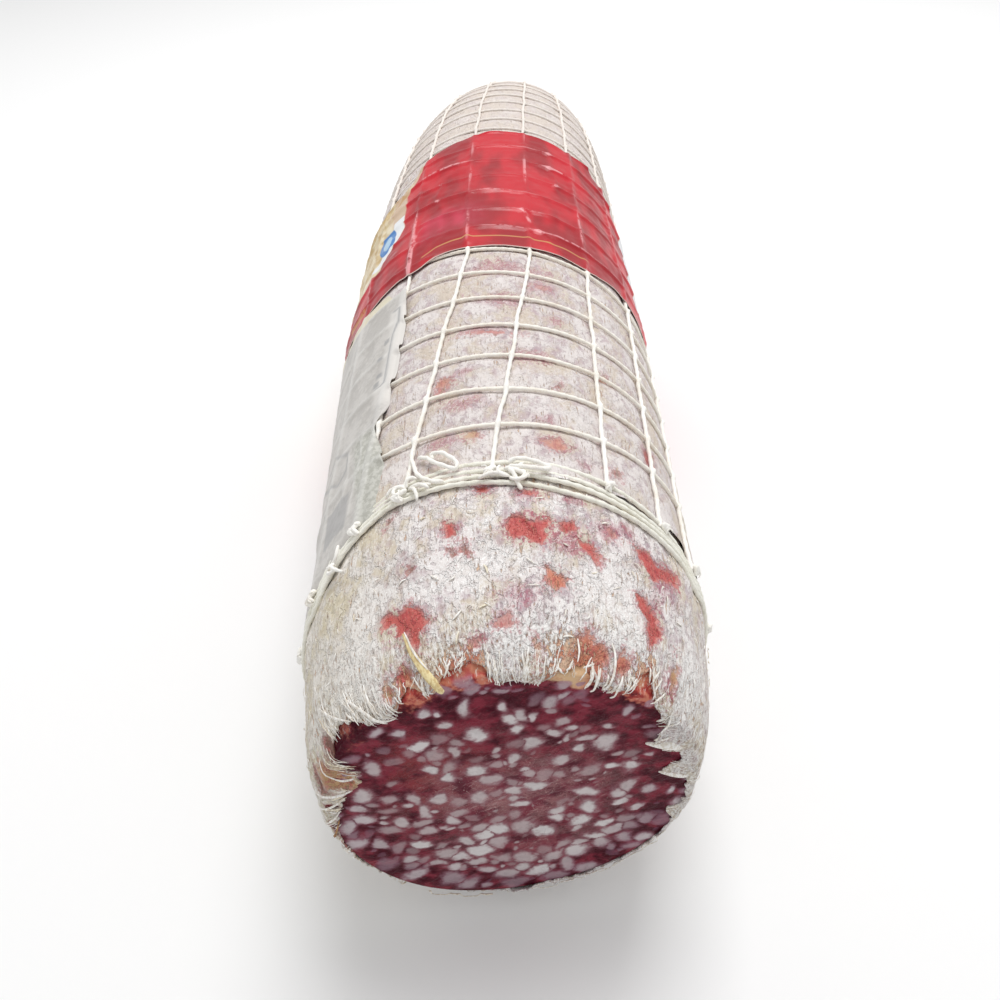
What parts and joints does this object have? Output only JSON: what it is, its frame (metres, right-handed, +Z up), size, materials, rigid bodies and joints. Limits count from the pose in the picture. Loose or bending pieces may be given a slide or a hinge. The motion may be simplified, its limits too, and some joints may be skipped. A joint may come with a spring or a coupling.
{
  "type": "milano salami",
  "caption": "Large cut salami lying on its side, with a mouldy casing, an elastic net, a red paper band and a white side label.",
  "frame": {"origin": "middle of the underside of the box round the whole salami, on the surface it lies on", "axes": "+Z up, +Y along the sausage from the cut face to the tied end, +X to the right seen from the cut end"},
  "size_m": [0.1004, 0.381, 0.0954],
  "materials": {
    "sausage": "dry natural casing with grey-white mould, and a dark red cut face with pale fat grains",
    "net": "cream elastic string",
    "label_band": "creased glossy red paper",
    "side_label": "wrinkled white sticky film"
  },
  "bodies": {
    "root": {"sausage": "sausage", "net": "net", "label_band": "label_band", "side_label": "side_label"}
  },
  "joints": []
}
